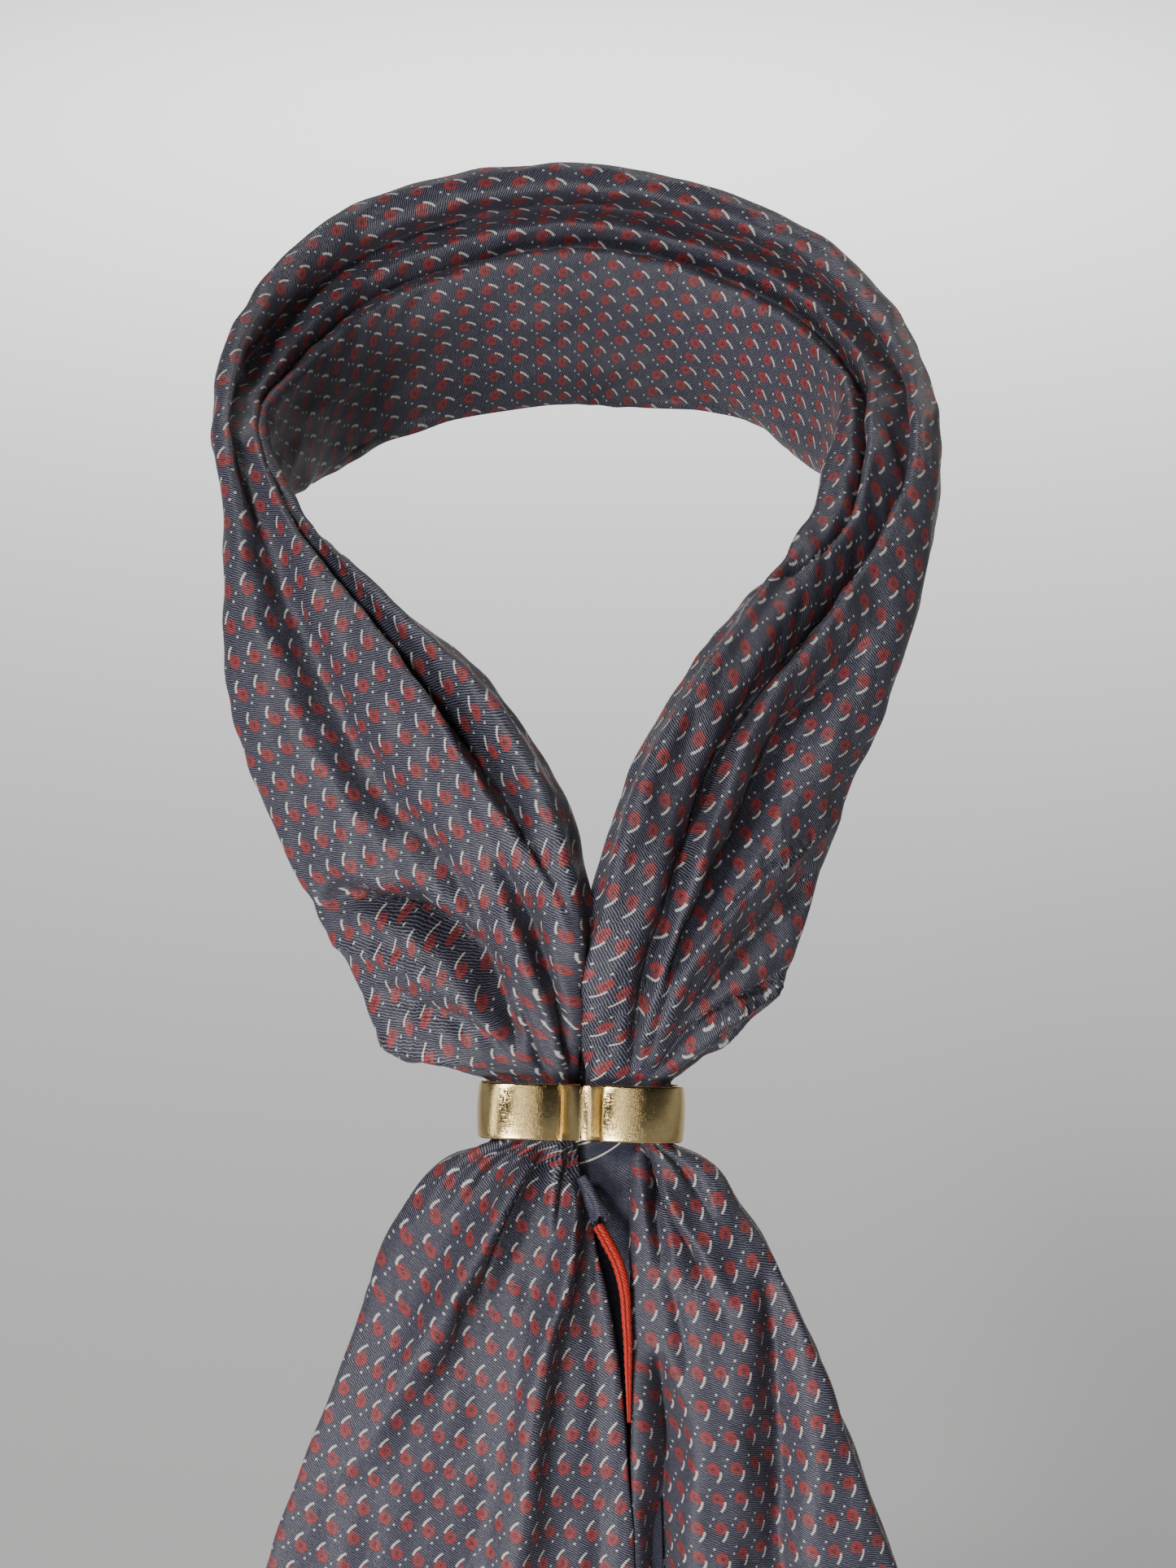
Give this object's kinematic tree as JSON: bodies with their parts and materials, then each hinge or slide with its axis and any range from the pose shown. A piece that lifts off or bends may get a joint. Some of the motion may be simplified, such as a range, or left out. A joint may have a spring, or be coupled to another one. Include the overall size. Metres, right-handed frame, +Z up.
{
  "type": "silk scarf with a double scarf ring",
  "caption": "Printed silk twill scarf worn in a loop round an open neck, both ends through a polished figure-8 ring and fanned out below it.",
  "frame": {"origin": "middle of the neck loop, level with the band at the sides of the neck", "axes": "+Z up, front of the scarf towards -Y, +X towards the right as seen from the front"},
  "size_m": [0.1644, 0.2085, 0.3087],
  "materials": {
    "printed_silk": "silk twill with a soft sheen, navy with a small red and white foulard repeat",
    "border_silk": "plain navy silk twill with two thin white lines",
    "red_silk": "red silk, rolled and sewn",
    "ring_gold": "polished gold plate with fine wear"
  },
  "bodies": {
    "root": {"neck_back": "printed_silk", "front_left": "printed_silk", "front_right": "printed_silk", "tail_left": "printed_silk", "tail_right": "printed_silk", "border_panel": "border_silk", "red_hem": "red_silk", "scarf_ring": "ring_gold"}
  },
  "joints": []
}
